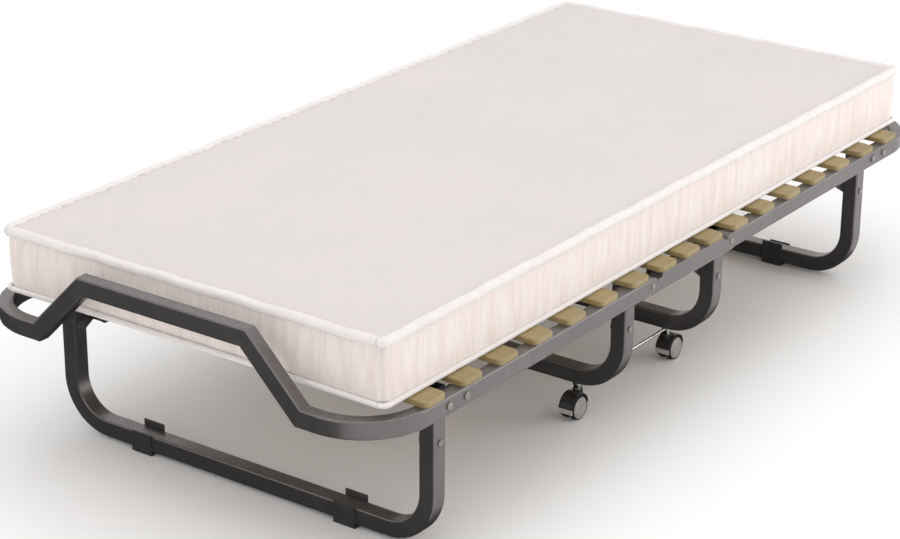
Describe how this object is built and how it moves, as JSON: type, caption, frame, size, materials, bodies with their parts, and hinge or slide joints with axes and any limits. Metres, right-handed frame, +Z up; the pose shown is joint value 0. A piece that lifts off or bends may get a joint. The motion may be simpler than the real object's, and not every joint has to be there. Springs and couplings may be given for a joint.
{
  "type": "rollaway bed",
  "caption": "Folding guest bed: bent tube frame in two hinged halves on a castered centre carriage, beech slats and a foam mattress.",
  "frame": {"origin": "on the floor under the middle of the bed", "axes": "+X along the bed towards the head end, +Y across the bed, +Z up"},
  "size_m": [2.022, 0.977, 0.467],
  "materials": {
    "frame_paint": "semi-gloss charcoal powder coat",
    "bolt_steel": "dark zinc",
    "beech": "satin lacquered beech ply",
    "cover_fabric": "knitted cream cover",
    "black_plastic": "moulded",
    "wheel_grey": "satin moulded",
    "chrome": "bright",
    "rod_steel": "bright zinc"
  },
  "bodies": {
    "carriage": {"caster_stems": "chrome", "centre_fasteners": "bolt_steel", "centre_leg_foot": "frame_paint", "centre_leg_head": "frame_paint", "centre_rail_left": "frame_paint", "centre_rail_right": "frame_paint", "centre_side_plates": "frame_paint", "centre_slat_1": "beech", "centre_slat_2": "beech", "centre_slat_3": "beech", "centre_stay_lugs": "frame_paint", "centre_stay_pins": "bolt_steel", "centre_stay_spacers": "black_plastic", "foot_mattress_bend": "cover_fabric", "head_mattress_bend": "cover_fabric", "tie_rods": "rod_steel"},
    "foot_section": {"foot_fasteners": "bolt_steel", "foot_frame": "frame_paint", "foot_hinge_plates": "frame_paint", "foot_mattress": "cover_fabric", "foot_slat_1": "beech", "foot_slat_2": "beech", "foot_slat_3": "beech", "foot_slat_4": "beech", "foot_slat_5": "beech", "foot_slat_6": "beech", "foot_slat_7": "beech"},
    "foot_leg": {"foot_leg": "frame_paint", "foot_leg_lugs": "frame_paint", "foot_leg_pads": "black_plastic", "foot_leg_pins": "bolt_steel", "foot_stay_spacers": "black_plastic"},
    "foot_stays": {"foot_stay_left": "frame_paint", "foot_stay_right": "frame_paint"},
    "head_section": {"head_fasteners": "bolt_steel", "head_frame": "frame_paint", "head_hinge_plates": "frame_paint", "head_mattress": "cover_fabric", "head_slat_1": "beech", "head_slat_2": "beech", "head_slat_3": "beech", "head_slat_4": "beech", "head_slat_5": "beech", "head_slat_6": "beech", "head_slat_7": "beech"},
    "head_leg": {"head_leg": "frame_paint", "head_leg_lugs": "frame_paint", "head_leg_pads": "black_plastic", "head_leg_pins": "bolt_steel", "head_stay_spacers": "black_plastic"},
    "head_stays": {"head_stay_left": "frame_paint", "head_stay_right": "frame_paint"},
    "caster_foot_left": {"caster_hood_foot_left": "black_plastic"},
    "caster_foot_right": {"caster_hood_foot_right": "black_plastic"},
    "caster_head_left": {"caster_hood_head_left": "black_plastic"},
    "caster_head_right": {"caster_hood_head_right": "black_plastic"},
    "wheels_foot_left": {"caster_wheels_foot_left": "wheel_grey"},
    "wheels_foot_right": {"caster_wheels_foot_right": "wheel_grey"},
    "wheels_head_left": {"caster_wheels_head_left": "wheel_grey"},
    "wheels_head_right": {"caster_wheels_head_right": "wheel_grey"}
  },
  "joints": [
    {"name": "foot_fold", "type": "hinge", "parent": "carriage", "child": "foot_section", "pos_m": [-0.15, 0, 0.3075], "axis": [0, 1, 0], "range_deg": [0, 85], "deforming": ["foot_mattress_bend"]},
    {"name": "foot_leg_fold", "type": "hinge", "parent": "foot_section", "child": "foot_leg", "pos_m": [-0.764, 0, 0.3075], "axis": [0, -1, 0], "range_deg": [0, 85]},
    {"name": "foot_stay_fold", "type": "hinge", "parent": "carriage", "child": "foot_stays", "pos_m": [-0.146, 0, 0.233], "axis": [0, 1, 0], "range_deg": [0, 85]},
    {"name": "head_fold", "type": "hinge", "parent": "carriage", "child": "head_section", "pos_m": [0.15, 0, 0.3075], "axis": [0, -1, 0], "range_deg": [0, 85], "deforming": ["head_mattress_bend"]},
    {"name": "head_leg_fold", "type": "hinge", "parent": "head_section", "child": "head_leg", "pos_m": [0.764, 0, 0.3075], "axis": [0, 1, 0], "range_deg": [0, 85]},
    {"name": "head_stay_fold", "type": "hinge", "parent": "carriage", "child": "head_stays", "pos_m": [0.146, 0, 0.233], "axis": [0, -1, 0], "range_deg": [0, 85]},
    {"name": "caster_foot_left_swivel", "type": "hinge", "parent": "carriage", "child": "caster_foot_left", "pos_m": [-0.1685, 0.331, 0.05], "axis": [0, 0, 1], "continuous": true},
    {"name": "caster_foot_left_roll", "type": "hinge", "parent": "caster_foot_left", "child": "wheels_foot_left", "pos_m": [-0.1825, 0.331, 0.025], "axis": [0, 1, 0], "continuous": true},
    {"name": "caster_foot_right_swivel", "type": "hinge", "parent": "carriage", "child": "caster_foot_right", "pos_m": [-0.1685, -0.331, 0.05], "axis": [0, 0, 1], "continuous": true},
    {"name": "caster_foot_right_roll", "type": "hinge", "parent": "caster_foot_right", "child": "wheels_foot_right", "pos_m": [-0.1825, -0.331, 0.025], "axis": [0, 1, 0], "continuous": true},
    {"name": "caster_head_left_swivel", "type": "hinge", "parent": "carriage", "child": "caster_head_left", "pos_m": [0.1685, 0.331, 0.05], "axis": [0, 0, 1], "continuous": true},
    {"name": "caster_head_left_roll", "type": "hinge", "parent": "caster_head_left", "child": "wheels_head_left", "pos_m": [0.1825, 0.331, 0.025], "axis": [0, 1, 0], "continuous": true},
    {"name": "caster_head_right_swivel", "type": "hinge", "parent": "carriage", "child": "caster_head_right", "pos_m": [0.1685, -0.331, 0.05], "axis": [0, 0, 1], "continuous": true},
    {"name": "caster_head_right_roll", "type": "hinge", "parent": "caster_head_right", "child": "wheels_head_right", "pos_m": [0.1825, -0.331, 0.025], "axis": [0, 1, 0], "continuous": true}
  ],
  "couplings": [
    {"joint": "foot_leg_fold", "follows": "foot_fold", "ratio": 1},
    {"joint": "foot_stay_fold", "follows": "foot_fold", "ratio": 1},
    {"joint": "head_leg_fold", "follows": "head_fold", "ratio": 1},
    {"joint": "head_stay_fold", "follows": "head_fold", "ratio": 1}
  ]
}
